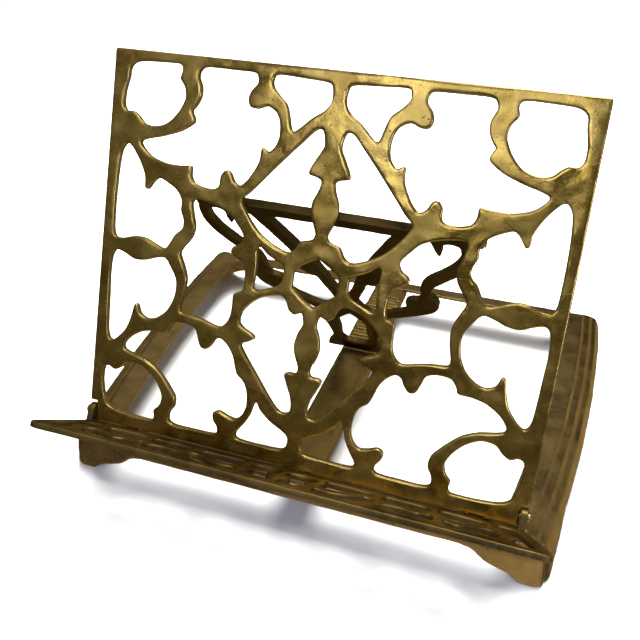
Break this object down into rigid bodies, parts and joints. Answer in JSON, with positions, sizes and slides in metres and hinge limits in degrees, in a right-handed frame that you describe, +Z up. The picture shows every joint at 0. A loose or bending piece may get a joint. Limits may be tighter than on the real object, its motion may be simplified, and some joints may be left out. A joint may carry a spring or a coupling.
{
  "type": "book display stand",
  "caption": "Openwork cast-brass book rest with a pierced folding ledge, leaning on a lyre strut that steps along a notched rack bar across a moulded base frame.",
  "frame": {"origin": "on the ground, under the middle of the whole stand's bounding box", "axes": "+X to the reader's right, +Y away from the reader, +Z up"},
  "size_m": [0.3832, 0.3356, 0.2771],
  "materials": {
    "base_brass": "cast, worn warm tan with a dull sheen",
    "rack_brass": "cast and filed, worn warm tan",
    "rest_brass": "cast, polished long ago, olive-gold with brown patina",
    "strut_brass": "cast, dark brown patina",
    "ledge_brass": "cast, mottled dark patina with worn bright spots",
    "pin_brass": "turned, worn bright"
  },
  "bodies": {
    "base": {"base_frame": "base_brass", "rack_bar": "rack_brass", "rack_rivets": "pin_brass", "rest_hinge_pin_left": "pin_brass", "rest_hinge_pin_right": "pin_brass"},
    "rest": {"rest_panel": "rest_brass", "strut_pin_left": "pin_brass", "strut_pin_right": "pin_brass", "ledge_pin_left": "pin_brass", "ledge_pin_right": "pin_brass"},
    "strut": {"strut": "strut_brass"},
    "ledge": {"ledge": "ledge_brass"}
  },
  "joints": [
    {"name": "panel_tilt", "type": "hinge", "parent": "base", "child": "rest", "pos_m": [0, -0.11621, 0.043], "axis": [-1, 0, 0], "range_deg": [0, 19.4]},
    {"name": "strut_swing", "type": "hinge", "parent": "rest", "child": "strut", "pos_m": [0, -0.05306, 0.19346], "axis": [1, 0, 0], "range_deg": [0, 35.4]},
    {"name": "ledge_fold", "type": "hinge", "parent": "rest", "child": "ledge", "pos_m": [0, -0.12061, 0.05259], "axis": [-1, 0, 0], "range_deg": [0, 78]}
  ],
  "couplings": [
    {"joint": "strut_swing", "follows": "panel_tilt", "ratio": 1.8225}
  ]
}
